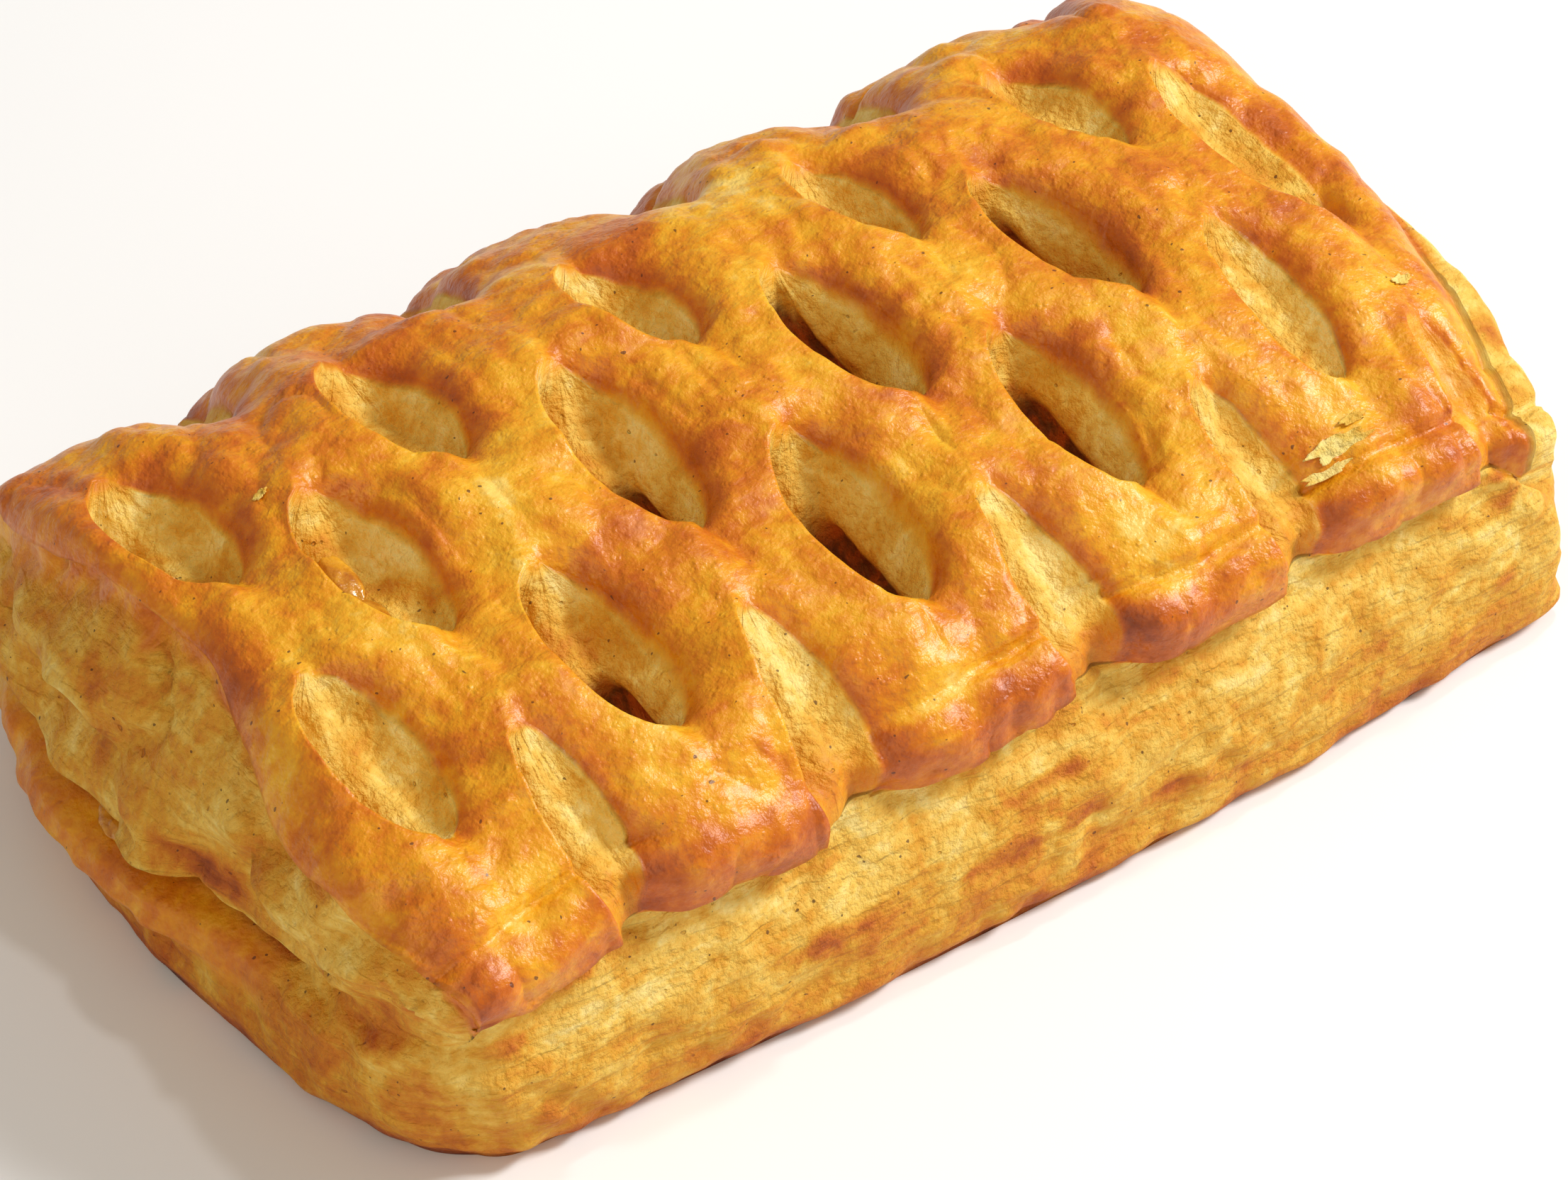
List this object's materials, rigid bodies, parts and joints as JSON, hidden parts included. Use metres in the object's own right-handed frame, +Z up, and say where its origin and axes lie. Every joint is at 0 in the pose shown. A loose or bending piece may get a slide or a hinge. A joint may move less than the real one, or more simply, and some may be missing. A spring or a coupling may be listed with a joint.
{
  "type": "lattice puff pastry bun",
  "caption": "Oblong filled puff pastry bun with a slit lattice lid baked golden brown and a flat base.",
  "frame": {"origin": "centre of the flat underside's bounding box", "axes": "+X along the bun, +Y across it towards the higher side of the lid, +Z up from the flat underside"},
  "size_m": [0.1616, 0.0936, 0.0427],
  "materials": {
    "crust": "egg-glazed golden brown on the lid, pale and matt where the layers are cut",
    "filling": "glossy, seen only down the slits"
  },
  "bodies": {
    "root": {"pastry": "crust"}
  },
  "joints": []
}
